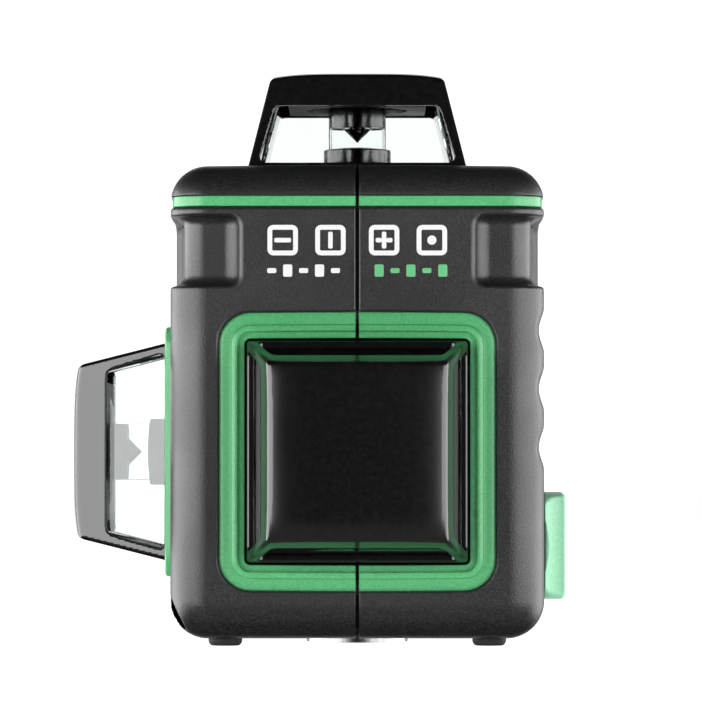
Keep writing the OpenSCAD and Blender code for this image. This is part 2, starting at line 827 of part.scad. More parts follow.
module lock_shaft() color("silver") {
    cam_w = 6;
    shaft_end = -9;
    along_x(shaft_end, 0, knob_z) cylinder(r = shaft_r, h = half_w + knob_gap - shaft_end);
    translate([-cam_w / 2, 0, knob_z]) rotate([90, 0, 90]) linear_extrude(cam_w)
        polygon([for (a = [-180 : 6 : 174]) cam_r(a) * [sin(a), cos(a)]]);
}

module lock_plunger() color("silver") {
    bridge = [10, 24, plunger_t];
    leg_r = 1.5;
    leg_low = 16;
    translate([-bridge[0] / 2, -bridge[1] / 2, plunger_z]) cube(bridge);
    for (s = [-1, 1]) translate([0, s * plunger_y, leg_low]) cylinder(r = leg_r, h = plunger_z - leg_low);
}

module lock_pad() color("black") difference() {
    pad_r = 5.5;
    pad_t = 3;
    pad_gap = 0.15;         // left between the raised pad and the disc
    translate([0, 0, plunger_z + plunger_t]) cylinder(r = pad_r, h = pad_t);
    translate([0, 0, pivot_z - lock_lift - pad_gap]) sphere(swing_r, $fn = 200);
}

// ---------- keys, door and port cover ----------

module key(x) {
    stud = [2, 0.3];        // radius and height
    flange = [key_r + 1.1, 0.9];
    cap = [key_r, 2.5];
    along_y(x, key_low, key_z) cylinder(r = stud[0], h = stud[1]);
    along_y(x, key_low + stud[1], key_z) cylinder(r = flange[0], h = flange[1]);
    along_y(x, key_low + stud[1] + flange[1], key_z) cylinder(r = cap[0], h = cap[1]);
}

module power_button() color("lightgray") key(0);
module plane_button() color("mediumseagreen") key(-key_x);
module pulse_button() color("mediumseagreen") key(key_x);

module battery_door() color("dimgray") {
    half_t = door_t / 2;
    nick_r = 9;             // finger notch in the top edge
    nick_rise = 6;
    nick_depth = 0.6;
    difference() {
        translate([-door_w / 2, half_d - door_t, door_low + half_t])
            cube([door_w, door_t, door_high - door_low - half_t]);
        along_y(0, half_d - nick_depth, door_high + nick_rise) cylinder(r = nick_r, h = 2);
    }
    along_x(-door_w / 2, half_d - half_t, door_low + half_t) cylinder(r = half_t, h = door_w);
    door_pins();
}

module port_cover() color([0.2, 0.2, 0.2]) {
    lip = 0.65;
    translate([port_x - port_w / 2, half_d - 2 * lip, port_z - port_h / 2 + lip])
        cube([port_w, 2 * lip, port_h - lip]);
    along_x(port_x - port_w / 2, half_d - lip, port_z - port_h / 2 + lip)
        cylinder(r = lip, h = port_w);
    port_pins();
}

// ---------- nodes ----------

left_shell();
right_shell();
left_stripe();
right_stripe();
front_surround_left();
front_surround_right();
side_surround();
top_window_frame();
side_window_frame();
front_window_frame();
top_window_glass();
side_window_glass();
front_window_glass();
stop_plates();
baffles();
chassis_base();
tripod_bush_large();
tripod_bush_small();
left_upright();
right_upright();
upright_bearings();
magnet_carrier();
damping_magnets();
rubber_feet();
rear_frame();
main_board();
tact_switches();
charge_socket();
keypad_panel();
indicator_lights();
driver_board();
lock_switch();
battery_pack();
battery_cells();
battery_contacts();
base_screws();
rear_screws();
knob_seal();
gimbal_ring();
ring_pins();
ring_bearings();
pendulum_body();
pendulum_pins();
balance_weights();
damping_disc();
laser_barrels();
collimator_lenses();
laser_diodes();
cone_tubes();
cone_holders();
cone_mirrors();
lock_knob();
lock_shaft();
lock_plunger();
lock_pad();
power_button();
plane_button();
pulse_button();
battery_door();
port_cover();
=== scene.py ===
"""The looks of a self-levelling laser level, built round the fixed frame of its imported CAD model.

Helpers work in millimetres, in the frame's own axes: +X is the knob side, -Y the front, +Z up.
"""
import json
import math

import bmesh
import bpy
import numpy as np
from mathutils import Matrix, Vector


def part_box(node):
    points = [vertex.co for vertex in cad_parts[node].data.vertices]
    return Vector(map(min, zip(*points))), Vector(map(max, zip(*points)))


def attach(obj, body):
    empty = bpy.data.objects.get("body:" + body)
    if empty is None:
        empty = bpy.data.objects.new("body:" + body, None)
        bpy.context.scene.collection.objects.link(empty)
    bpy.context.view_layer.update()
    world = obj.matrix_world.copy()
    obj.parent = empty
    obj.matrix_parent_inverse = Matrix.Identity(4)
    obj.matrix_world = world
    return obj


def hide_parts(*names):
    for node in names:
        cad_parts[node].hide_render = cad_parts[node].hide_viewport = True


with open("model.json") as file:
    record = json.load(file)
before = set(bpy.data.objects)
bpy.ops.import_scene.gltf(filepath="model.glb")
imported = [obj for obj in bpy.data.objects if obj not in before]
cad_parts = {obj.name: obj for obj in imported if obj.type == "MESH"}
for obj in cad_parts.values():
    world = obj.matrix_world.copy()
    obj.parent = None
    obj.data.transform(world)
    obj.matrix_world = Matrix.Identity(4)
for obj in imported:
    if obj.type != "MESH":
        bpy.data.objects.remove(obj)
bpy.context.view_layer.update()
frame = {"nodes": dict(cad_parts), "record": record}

MM = 0.001
SLOT_OF = {part["node"]: part["material_slot"] for part in frame["record"]["subparts"]}
BODY_OF = {node: body for body, nodes in frame["record"]["behaviour"]["bodies"].items() for node in nodes}


def low_of(node):
    return np.array(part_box(node)[0]) / MM


def high_of(node):
    return np.array(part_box(node)[1]) / MM


# Sizes that places in the frame are counted from
HINGE_PIN = 1.5              # how far the battery door's pins stand out
FOOT_R = 3.75

# Sizes read from the frame
HALF_W = high_of("right_shell")[0]
HALF_D = high_of("right_shell")[1]
TOP = high_of("right_shell")[2]
FOOT = low_of("right_shell")[2]
HEAD_Z = (low_of("front_window_frame")[2] + high_of("front_window_frame")[2]) / 2
HEAD_H = high_of("top_window_frame")[2] - TOP
FLANGE_HALF = high_of("top_window_frame")[0]
FLANGE_LOW = low_of("top_window_frame")[2] - TOP
SURROUND_HALF = high_of("side_surround")[1]
RIDGE = -HALF_W - low_of("side_surround")[0]    # how far a surround's ridge stands out of the casing
STRIPE_LOW = low_of("left_stripe")[2]
STRIPE_HIGH = high_of("left_stripe")[2]
STRIPE_INSET = HALF_W - high_of("right_stripe")[0]
SEAM = low_of("right_stripe")[0]
KNOB_Z = (low_of("lock_knob")[2] + high_of("lock_knob")[2]) / 2
KNOB_R = high_of("lock_knob")[1]
KNOB_END = high_of("lock_knob")[0]
DOOR_HALF = high_of("battery_door")[0] - HINGE_PIN
DOOR_LOW = low_of("battery_door")[2]
DOOR_HIGH = high_of("battery_door")[2]
PANEL_HALF = high_of("keypad_panel")[0]
PANEL_LOW = low_of("keypad_panel")[2]
PANEL_HIGH = high_of("keypad_panel")[2]
PANEL_Y = low_of("keypad_panel")[1]
PORT_X = (low_of("port_cover")[0] + high_of("port_cover")[0]) / 2
PORT_LOW = low_of("port_cover")[2]
PORT_HIGH = high_of("port_cover")[2]
FEET = high_of("rubber_feet")[:2] - FOOT_R
KEY_Z = (low_of("power_button")[2] + high_of("power_button")[2]) / 2
KEY_END = high_of("power_button")[1]
LIGHT_Z = (low_of("indicator_lights")[2] + high_of("indicator_lights")[2]) / 2

# Sizes of the finer shapes
EDGE_R = 8.0
TOP_R = 8.0
BOTTOM_R = 8.4
CROWN = 0.4
BOW = 1.0                    # how far the sides curve in towards the front and back
WALL = 3.0
THROUGH = WALL + 1           # depth of a cut that goes right through the wall
SEAM_GAP = 0.02
HALF_HOLE = 24.7
HOLE_R = 1.0                 # corner radius of the window holes
STRIPE_DEPTH = 1.4
LAYER = 1.6                  # thickness of the casing's outer layer, which the seam cuts through
POCKET_DEPTH = 3.6
POCKET_END_X = 25.8
POCKET_END_Y = 6.0
POCKET_MID = 87.25
POCKET_HALF = 7.7
POCKET_R = 4.8               # radius of a pocket's floor round the corner
POCKET_FILLET = 2.5
POCKET_WALL = 2.2            # wall left behind a pocket
SIDE_END_X = 34.0            # a pocket's side end lies beyond this
SLANT = 0.3                  # how far a pocket's end wall leans
GROOVE_R = 5.2
GROOVE_DEPTH = 1.8
GROOVE_MID = 56.9
GROOVE_PITCH = 12.95
NOTCH_SLOPE = (0.899, 0.438)
NOTCH_PLACE = (-41.6, 11.7)
NOTCH_WALL = 0.7             # wall left outside the slot in the lower left edge
NOTCH_END_Y = -14.0
RECESS = 1.2
SURROUND_R = 6.9
SURROUND_PLAY = 0.12
ARCH = 0.25                  # how far a surround's top and bottom edges bow out at the middle
HEAD_HALF = 24.4
CAP_HALF = 19.0
TAPER = (HEAD_HALF - CAP_HALF) / HEAD_H
WINDOW_LOW = 1.0
WINDOW_HIGH = 14.0
CEILING = 19.0
POST = 2.1
POST_FLARE = 0.6             # how much a post widens towards the cap
FRAME_T = 1.6
FLANGE_T = 2.0
CAP_CROWN = 0.95             # how far a cap falls away towards its edges
PORT_HALF = 6.8
SCREW_HEAD_R = 2.9
SCREW_SINK = 2.0
SCREW_R = 1.6
SCREW_X = 30.8
SCREW_Z = (58.0, 92.0)
BASE_SCREW = (24.0, 17.0)
BUSH_Y = 24.0
BUSH_HOLE_R = (11.8, 6.8)
BARREL_R = 7.65
HOLDER_R = 6.5
KEY_FLANGE_R = 6.2
SIGN_X = (-16.4, -5.9, 5.9, 16.4)
SIGN_Z = 89.5
SIGN_HALF = 3.35
SIGN_STROKE = 1.05
MARK_Z = 82.8
MARK_PITCH = 3.5


# ---------- distances to shapes: negative inside, for numbers or arrays ----------

def positive(a):
    return np.maximum(a, 0.0)


def both(a, b, r=0.0):
    """What lies in a and in b, with its edge rounded to radius r."""
    if np.isscalar(r) and r == 0.0:
        return np.maximum(a, b)
    return np.minimum(-r, np.maximum(a, b)) + np.hypot(positive(a + r), positive(b + r))


def without(a, b, r=0.0):
    return both(a, -b, r)


def rounded(a, b, half_a, half_b, r):
    """A rounded rectangle round the origin of a and b."""
    return both(np.abs(a) - half_a, np.abs(b) - half_b, r)


def bowed(a, b):
    """b drawn in so that a shape made with it bows out by ARCH over the middle of a."""
    share = positive(1 - (a / SURROUND_HALF) ** 2)
    return b * (1 - ARCH / SURROUND_HALF * share)


def plan_form(x, y):
    """The casing seen from above: a rounded rectangle with slightly convex sides."""
    return rounded(x, y, HALF_W - BOW * (y / HALF_D) ** 2, HALF_D, EDGE_R)


def body_form(x, y, z):
    """The casing's outer form, before anything is cut into it."""
    plan = plan_form(x, y)
    upper = both(plan, z + CROWN * (x / HALF_W) ** 2 - TOP, TOP_R)
    return both(upper, FOOT - z, BOTTOM_R)


def pocket(x, y, z):
    """The thumb pocket round a front corner."""
    u = -np.abs(x)
    lean = math.hypot(1, SLANT)
    floor = rounded(u, y, HALF_W - POCKET_DEPTH, HALF_D - POCKET_DEPTH, POCKET_R)
    front_end = (u + POCKET_END_X + SLANT * (y + HALF_D)) / lean
    side_end = both((y - POCKET_END_Y + SLANT * (u + HALF_W)) / lean, u + SIDE_END_X)
    plan = both(-floor, np.minimum(front_end, side_end), POCKET_FILLET)
    return both(plan, np.abs(z - POCKET_MID) - POCKET_HALF, POCKET_FILLET)


def grooves(x, z):
    """The three finger grooves of the knob side."""
    middle = HALF_W - GROOVE_DEPTH + GROOVE_R
    rows = [np.hypot(x - middle, z - GROOVE_MID - i * GROOVE_PITCH) for i in (-1, 0, 1)]
    return np.minimum(np.minimum(rows[0], rows[1]), rows[2]) - GROOVE_R


def corner_slot(x, y, z):
    """The slot in the lower left edge, behind a flat chord."""
    chord = NOTCH_SLOPE[0] * (x - NOTCH_PLACE[0]) + NOTCH_SLOPE[1] * (z - NOTCH_PLACE[1])
    section = both(-x - HALF_W, FOOT - z, BOTTOM_R) + NOTCH_WALL
    return both(both(chord, section, 0.3), y - NOTCH_END_Y)


def surround_recess(a, b, out):
    """The recess for a surround; out is the height above the casing's face."""
    edge = SURROUND_HALF + SURROUND_PLAY
    return both(rounded(a, bowed(a, b), edge, edge, SURROUND_R), -RECESS - out)


def left_cuts(x, y, z):
    side_hole = both(rounded(y, z - HEAD_Z, HALF_HOLE, HALF_HOLE, HOLE_R), x + HALF_W - THROUGH)
    recess = surround_recess(y, z - HEAD_Z, -HALF_W - x)
    return [(recess, 0.35), (side_hole, 0.0), (corner_slot(x, y, z), 0.35)]


def right_cuts(x, y, z):
    knob_hole = both(np.hypot(y, z - KNOB_Z) - 4.2, HALF_W - THROUGH - x)
    port_mid = (PORT_LOW + PORT_HIGH) / 2
    port_half = (PORT_HIGH - PORT_LOW) / 2
    gap = 0.2
    port = both(rounded(x - PORT_X, z - port_mid, PORT_HALF + gap, port_half + gap, 0.7), PANEL_Y - y)
    socket = both(rounded(x - PORT_X, z - port_mid, 4.5, 1.7, 0.8), HALF_D - THROUGH - y)
    return [(grooves(x, z), 1.2), (knob_hole, 0.3), (port, 0.3), (socket, 0.0)]


def rear_cuts(x, y, z):
    inside = HALF_D - THROUGH
    gap = 0.3
    door_mid = (DOOR_LOW + DOOR_HIGH) / 2
    door_half = (DOOR_HIGH - DOOR_LOW) / 2 + gap
    door = both(rounded(x, z - door_mid, DOOR_HALF + gap, door_half, 0.8), inside - y)
    panel_mid = (PANEL_LOW + PANEL_HIGH) / 2
    panel_half = (PANEL_HIGH - PANEL_LOW) / 2
    panel = both(rounded(x, z - panel_mid, PANEL_HALF + 0.1, panel_half + 0.1, 0.8), PANEL_Y - y)
    opening = both(rounded(x, z - panel_mid, PANEL_HALF - 2, panel_half - 2.5, 1), inside - y)
    cuts = [(door, 0.35), (panel, 0.25), (opening, 0.0)]
    for screw_z in SCREW_Z:
        from_axis = np.hypot(np.abs(x) - SCREW_X, z - screw_z)
        cuts.append((both(from_axis - SCREW_HEAD_R, HALF_D - SCREW_SINK - y), 0.25))
        cuts.append((both(from_axis - SCREW_R, inside - y), 0.0))
    return cuts


def bottom_cuts(x, y, z):
    bushes = np.minimum(np.hypot(x, y) - BUSH_HOLE_R[0], np.hypot(x, y - BUSH_Y) - BUSH_HOLE_R[1])
    feet = np.hypot(np.abs(x) - FEET[0], np.abs(y) - FEET[1]) - FOOT_R - 0.15
    screws = np.hypot(np.abs(x) - BASE_SCREW[0], np.abs(y) - BASE_SCREW[1])
    return [
        (both(bushes, z - FOOT - THROUGH), 0.3),
        (both(feet, z - FOOT - 1), 0.3),
        (both(screws - SCREW_HEAD_R, z - FOOT - SCREW_SINK), 0.3),
        (both(screws - SCREW_R, z - FOOT - THROUGH), 0.0),
    ]


def casing(x, y, z, side):
    """One half of the casing; side is -1 for the left half and 1 for the right."""
    form = body_form(x, y, z)
    plan = plan_form(x, y)
    stripe_mid = (STRIPE_LOW + STRIPE_HIGH) / 2
    stripe = both(-plan - STRIPE_DEPTH, np.abs(z - stripe_mid) - (STRIPE_HIGH - STRIPE_LOW) / 2)
    thumb = pocket(x, y, z)
    body = without(form, thumb, 0.8)
    body = without(body, stripe, np.where(z < stripe_mid, 0.9, 0.35))
    front = -HALF_D - y
    cuts = [
        (surround_recess(x, z - HEAD_Z, front), 0.35),
        (both(rounded(x, z - HEAD_Z, HALF_HOLE, HALF_HOLE, HOLE_R), y + HALF_D - THROUGH), 0.0),
        (both(rounded(x, y, HALF_HOLE, HALF_HOLE, HOLE_R), TOP - THROUGH - z), 0.3),
    ]
    cuts += left_cuts(x, y, z) if side < 0 else right_cuts(x, y, z)
    for cut, r in cuts + rear_cuts(x, y, z) + bottom_cuts(x, y, z):
        body = without(body, cut, r)
    body = without(body, without(form + WALL, thumb - POCKET_WALL))
    from_seam = side * x
    slot = both(-form - LAYER, from_seam - SEAM)
    return without(both(body, SEAM_GAP - from_seam), slot, 0.22)


def head_half(h):
    return HEAD_HALF - TAPER * positive(h)


def window_head(x, y, z):
    """A window frame with +Z pointing out of the casing and the casing's face at z = 0."""
    half = head_half(z)
    crown = CAP_CROWN * ((x / CAP_HALF) ** 4 + (y / CAP_HALF) ** 4)
    lean = math.cos(math.atan(TAPER))
    outside = both(rounded(x, y, half, half, 0.9) * lean, z + crown - HEAD_H, 0.85)
    from_flange = np.abs(z + WALL + FLANGE_T / 2) - FLANGE_T / 2
    flange = both(rounded(x, y, FLANGE_HALF, FLANGE_HALF, 3), from_flange)
    shape = np.minimum(outside, flange)
    shape = both(shape, FLANGE_LOW - z)
    inner = rounded(x, y, half - FRAME_T, half - FRAME_T, 0.5) * lean
    shape = without(shape, both(inner, z - CEILING, 0.6))
    middle = (WINDOW_LOW + WINDOW_HIGH) / 2
    reach = (WINDOW_HIGH - WINDOW_LOW) / 2
    for across in (x, y):
        width = half - POST - POST_FLARE * positive(z) / WINDOW_HIGH
        window = both(np.abs(across) - width, np.abs(z - middle) - reach, 1.5)
        shape = without(shape, window, 0.4)
    return shape


def knob(x, y, z):
    """The lock knob, with a scoop on each side of its grip."""
    out = x - HALF_W
    disc = both(np.hypot(y, z - KNOB_Z) - KNOB_R, out - (KNOB_END - HALF_W), 1.1)
    disc = both(disc, 0.3 - out, 0.3)
    scoop = np.hypot(out - 5.2, np.abs(y) - 9.1) - 4.7
    grip = without(disc, scoop, 0.5)
    hub = both(np.hypot(y, z - KNOB_Z) - 3, both(-WALL - out, out - 1))
    return np.minimum(grip, hub)


def battery_door(x, y, z):
    """The battery door, with a thumb notch, five grip lines and its hinge pins."""
    middle = (DOOR_LOW + DOOR_HIGH) / 2
    thick = both(y - HALF_D, HALF_D - 1.8 - y)
    plate = both(rounded(x, z - middle, DOOR_HALF, (DOOR_HIGH - DOOR_LOW) / 2, 0.9), thick, 0.5)
    plate = without(plate, both(np.hypot(x, z - DOOR_HIGH - 6) - 9, HALF_D - 0.7 - y), 0.3)
    for row in range(5):
        rib = np.hypot(y - HALF_D - 0.2, z - DOOR_HIGH + 7 + 2.2 * row) - 0.6
        plate = without(plate, both(rib, np.abs(x) - 16), 0.15)
    pins = both(np.hypot(y - HALF_D + 0.9, z - DOOR_LOW - 0.9) - 0.8, np.abs(x) - DOOR_HALF - HINGE_PIN)
    return np.minimum(plate, pins)


def port_cover(x, y, z):
    """The rubber cover of the charging socket, with a nail nick and its hinge pins."""
    middle = (PORT_LOW + PORT_HIGH) / 2
    u = x - PORT_X
    plate = rounded(u, z - middle, PORT_HALF, (PORT_HIGH - PORT_LOW) / 2, 0.6)
    plate = both(plate, both(y - HALF_D, HALF_D - 1.3 - y), 0.35)
    nick = np.hypot(u, z - PORT_HIGH - 1.6) - 2.6
    plate = without(plate, both(nick, HALF_D - 0.5 - y), 0.2)
    pins = both(np.hypot(y - HALF_D + 0.65, z - PORT_LOW - 0.65) - 0.4, np.abs(u) - 7.5)
    return np.minimum(plate, pins)


# ---------- meshes from distances ----------

def grid_lines(low, high, coarse, marks):
    """Grid places from low to high, which close up near each mark (place, reach, spacing)."""
    lines = [low]
    while lines[-1] < high:
        step = coarse
        for place, reach, fine in marks:
            step = min(step, fine + 0.3 * max(0.0, abs(lines[-1] - place) - reach))
        lines.append(lines[-1] + step)
    return np.array(lines)


def slope_of(distance, points):
    """The direction in which distance grows, at each point."""
    reach = 0.02
    slope = np.empty_like(points)
    for axis in range(3):
        ahead = points.copy()
        behind = points.copy()
        ahead[:, axis] += reach
        behind[:, axis] -= reach
        slope[:, axis] = (distance(*ahead.T) - distance(*behind.T)) / (2 * reach)
    return slope


def skin(distance, lines):
    """Points, faces and normals of the surface where distance is zero, by surface nets."""
    values = distance(lines[0][:, None, None], lines[1][None, :, None], lines[2][None, None, :])
    cells = tuple(n - 1 for n in values.shape)
    spots, corners, quads = [], [], []
    for axis in range(3):
        first = np.moveaxis(values, axis, 0)[:-1]
        second = np.moveaxis(values, axis, 0)[1:]
        crossing = np.nonzero((first < 0) != (second < 0))
        near, far = first[crossing], second[crossing]
        order = [axis] + [a for a in range(3) if a != axis]
        index = np.empty((3, len(near)), int)
        index[order] = np.array(crossing)
        spot = np.array([lines[a][index[a]] for a in range(3)])
        gap = lines[axis][index[axis] + 1] - lines[axis][index[axis]]
        spot[axis] += gap * near / (near - far)
        quad = np.empty((len(near), 4), int)
        for k, (du, dv) in enumerate(((0, 0), (1, 0), (1, 1), (0, 1))):
            cell = index.copy()
            cell[(axis + 1) % 3] -= du
            cell[(axis + 2) % 3] -= dv
            quad[:, k] = np.ravel_multi_index(tuple(cell), cells)
            spots.append(spot.T)
            corners.append(quad[:, k].copy())
        quad[near > 0] = quad[near > 0][:, ::-1]
        quads.append(quad)
    used, where = np.unique(np.concatenate(corners), return_inverse=True)
    spots = np.concatenate(spots)
    count = np.bincount(where)
    points = np.stack([np.bincount(where, spots[:, a]) / count for a in range(3)], axis=1)
    for _ in range(3):
        slope = slope_of(distance, points)
        steep = np.maximum((slope ** 2).sum(axis=1), 0.2)
        move = -(distance(*points.T) / steep)[:, None] * slope
        points = points + np.clip(move, -0.4, 0.4)
    normals = slope_of(distance, points)
    normals /= np.maximum(np.linalg.norm(normals, axis=1), 1e-6)[:, None]
    return points, np.searchsorted(used, np.concatenate(quads)), normals


# ---------- meshes from outlines ----------

def soften(loop, r, steps=3):
    """A closed outline with its corners rounded to about r; corners on the axis stay."""
    loop = np.array(loop, float)
    result = []
    for i, here in enumerate(loop):
        before, after = loop[i - 1], loop[(i + 1) % len(loop)]
        back, ahead = before - here, after - here
        reach = min(r, 0.45 * np.linalg.norm(back), 0.45 * np.linalg.norm(ahead))
        if here[0] == 0:
            result.append(here)
            continue
        start = here + back / np.linalg.norm(back) * reach
        end = here + ahead / np.linalg.norm(ahead) * reach
        for k in range(steps + 1):
            t = k / steps
            result.append((1 - t) ** 2 * start + 2 * t * (1 - t) * here + t * t * end)
    return np.array(result)


def loft(rows, closed_path, closed_loop=True):
    """Points and faces of the surface through rows, each a loop of as many points; open ends are capped."""
    rows = np.array(rows)
    count, size = rows.shape[:2]
    faces = []
    for i in range(count if closed_path else count - 1):
        for j in range(size if closed_loop else size - 1):
            k, m = (i + 1) % count, (j + 1) % size
            faces.append((i * size + j, i * size + m, k * size + m, k * size + j))
    if not closed_path:
        faces.append(tuple(range(size)))
        faces.append(tuple((count - 1) * size + j for j in range(size)))
    return rows.reshape(-1, 3), faces


def turned(loop, r=0.2, segments=96):
    """A closed outline of (radius, height) turned about the Z axis."""
    loop = soften(loop, r)
    rows = []
    for i in range(segments):
        angle = 2 * math.pi * i / segments
        rows.append([(p[0] * math.cos(angle), p[0] * math.sin(angle), p[1]) for p in loop])
    return loft(rows, True)


def ring(half_a, half_b, r, steps=8, straight=16):
    """Points of a rounded rectangle, anticlockwise from the start of its upper right corner."""
    corners = [(1, 1), (-1, 1), (-1, -1), (1, -1)]
    points = []
    for turn, (sa, sb) in enumerate(corners):
        for i in range(steps + 1):
            angle = (turn + i / steps) * math.pi / 2
            points.append((sa * (half_a - r) + r * math.cos(angle), sb * (half_b - r) + r * math.sin(angle)))
        last = points[-1]
        na, nb = corners[(turn + 1) % 4]
        angle = (turn + 1) * math.pi / 2
        following = (na * (half_a - r) + r * math.cos(angle), nb * (half_b - r) + r * math.sin(angle))
        for i in range(1, straight):
            t = i / straight
            points.append((last[0] + t * (following[0] - last[0]), last[1] + t * (following[1] - last[1])))
    return np.array(points)


def half_ring(points, side, steps=8, straight=16):
    """The part of a ring on one side of the seam; side is -1 for the left."""
    per_corner = steps + straight
    start = steps + straight // 2 + (0 if side < 0 else 2 * per_corner)
    picked = [points[(start + i) % len(points)].copy() for i in range(2 * per_corner + 1)]
    picked[0][0] = picked[-1][0] = side * SEAM
    return np.array(picked)


def tile(half_a, half_b, r, low, high, edge):
    """A rounded plate with softened edges, from low to high."""
    heights = [(edge, low), (edge * 0.3, low + edge * 0.3), (0, low + edge),
               (0, high - edge), (edge * 0.3, high - edge * 0.3), (edge, high)]
    rows = []
    for inset, height in heights:
        outline = ring(half_a - inset, half_b - inset, max(r - inset, 0.05), 6, 2)
        rows.append([(a, b, height) for a, b in outline])
    return loft(rows, False)


def moved(part, dx=0.0, dy=0.0, dz=0.0):
    points, faces = part
    return points + np.array([dx, dy, dz]), faces


def joined(parts):
    """Several point and face lists as one."""
    points, faces, start = [], [], 0
    for part_points, part_faces in parts:
        points.append(part_points)
        faces += [tuple(start + i for i in face) for face in part_faces]
        start += len(part_points)
    return np.concatenate(points), faces


# ---------- placing ----------

def to_top(p):
    return np.stack([p[:, 0], p[:, 1], p[:, 2]], axis=1)


def to_side(p):
    return np.stack([-p[:, 2], p[:, 1], p[:, 0]], axis=1)


def to_front(p):
    return np.stack([p[:, 0], -p[:, 2], p[:, 1]], axis=1)


FACES = {
    "top": (to_top, np.array([0, 0, TOP])),
    "side": (to_side, np.array([-HALF_W, 0, HEAD_Z])),
    "front": (to_front, np.array([0, -HALF_D, HEAD_Z])),
}


def on_face(part, face):
    turn, place = FACES[face]
    return turn(part[0]) + place, part[1]


def on_each_face(part):
    return joined([on_face(part, face) for face in FACES])


def facing_back(part):
    """A part drawn with +Z outward, turned to point out of the rear."""
    points, faces = part
    return np.stack([points[:, 0], points[:, 2], points[:, 1]], axis=1), faces


def net_mesh(name, net):
    """A mesh from skin(), shaded by the true normals of its shape."""
    points, quads, normals = net
    mesh = bpy.data.meshes.new(name)
    mesh.from_pydata((points * MM).tolist(), [], quads.tolist())
    mesh.polygons.foreach_set("use_smooth", np.ones(len(mesh.polygons), bool))
    mesh.normals_split_custom_set_from_vertices(normals.tolist())
    return mesh


def part_mesh(name, part):
    """A mesh from points and faces, with doubled points merged and sharp edges kept."""
    points, faces = part
    mesh = bpy.data.meshes.new(name)
    mesh.from_pydata((points * MM).tolist(), [], faces)
    shape = bmesh.new()
    shape.from_mesh(mesh)
    bmesh.ops.remove_doubles(shape, verts=shape.verts, dist=1e-7)
    bmesh.ops.recalc_face_normals(shape, faces=shape.faces)
    shape.to_mesh(mesh)
    shape.free()
    mesh.polygons.foreach_set("use_smooth", np.ones(len(mesh.polygons), bool))
    mesh.set_sharp_from_angle(angle=math.radians(32))
    return mesh


def stand_for(node, mesh, look=None):
    """Shows mesh in place of a CAD node, on the node's body, with its slot's finish or another look."""
    piece = bpy.data.objects.new(node + "_detailed", mesh)
    bpy.context.scene.collection.objects.link(piece)
    mesh.materials.append(finish_of(look or SLOT_OF[node]))
    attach(piece, BODY_OF[node])
    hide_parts(node)
    return piece


# ---------- materials ----------

def wire(tree, kind, **values):
    """A new node with the given input values."""
    node = tree.nodes.new(kind)
    for name, value in values.items():
        node.inputs[name.replace("_", " ")].default_value = value
    return node


def grain(tree, scale, detail=3.0, stretch=(1, 1, 1)):
    """Noise fixed to the object, scale features to the metre."""
    place = tree.nodes.new("ShaderNodeTexCoord")
    mapping = wire(tree, "ShaderNodeMapping", Scale=stretch)
    noise = wire(tree, "ShaderNodeTexNoise", Scale=scale, Detail=detail)
    tree.links.new(place.outputs["Object"], mapping.inputs["Vector"])
    tree.links.new(mapping.outputs["Vector"], noise.inputs["Vector"])
    return noise.outputs["Fac"]


def tint(tree, value, dark, light, low=0.35, high=0.65):
    """Colours from dark to light as value grows."""
    ramp = tree.nodes.new("ShaderNodeValToRGB")
    ramp.color_ramp.elements[0].position = low
    ramp.color_ramp.elements[1].position = high
    ramp.color_ramp.elements[0].color = (*dark, 1)
    ramp.color_ramp.elements[1].color = (*light, 1)
    tree.links.new(value, ramp.inputs["Fac"])
    return ramp.outputs["Color"]


def spread(tree, value, low, high):
    """Numbers from low to high as value grows."""
    reach = wire(tree, "ShaderNodeMapRange", From_Min=0.3, From_Max=0.7, To_Min=low, To_Max=high)
    tree.links.new(value, reach.inputs["Value"])
    return reach.outputs["Result"]


def finish(name, dark, light, rough, scale, bump, metallic=0.0, specular=0.5, stretch=(1, 1, 1),
           coat=0.0, low=0.35, high=0.65):
    """A surface whose colour, roughness and height all vary with a fine grain.

    rough is the range of roughness, scale the grain's features to the metre, bump its strength and height.
    """
    material = bpy.data.materials.new(name)
    material.use_nodes = True
    tree = material.node_tree
    surface = tree.nodes["Principled BSDF"]
    surface.inputs["Metallic"].default_value = metallic
    surface.inputs["Specular IOR Level"].default_value = specular
    surface.inputs["Coat Weight"].default_value = coat
    surface.inputs["Coat Roughness"].default_value = 0.08
    fine = grain(tree, scale, 3.0, stretch)
    broad = grain(tree, scale / 40, 2.0)
    tree.links.new(tint(tree, fine, dark, light, low, high), surface.inputs["Base Color"])
    tree.links.new(spread(tree, broad, *rough), surface.inputs["Roughness"])
    relief = wire(tree, "ShaderNodeBump", Strength=bump[0], Distance=bump[1])
    tree.links.new(fine, relief.inputs["Height"])
    tree.links.new(relief.outputs["Normal"], surface.inputs["Normal"])
    return material


def casing_finish():
    return finish("casing", (0.004, 0.004, 0.0042), (0.028, 0.028, 0.028), (0.38, 0.46), 2600,
                  (0.85, 0.00008), specular=0.85, low=0.4, high=0.75)


def green_trim_finish():
    return finish("green_trim", (0.075, 0.365, 0.138), (0.102, 0.44, 0.176), (0.25, 0.32), 1800,
                  (0.12, 0.00004), specular=0.5)


def green_key_finish():
    return finish("green_key", (0.27, 0.63, 0.39), (0.32, 0.7, 0.45), (0.4, 0.5), 1800, (0.15, 0.00004))


def grey_key_finish():
    return finish("grey_key", (0.42, 0.44, 0.43), (0.5, 0.52, 0.51), (0.42, 0.5), 1800, (0.15, 0.00004))


def gloss_black_finish():
    return finish("gloss_black", (0.004, 0.004, 0.004), (0.007, 0.007, 0.007), (0.15, 0.22), 900,
                  (0.08, 0.00004), specular=0.8)


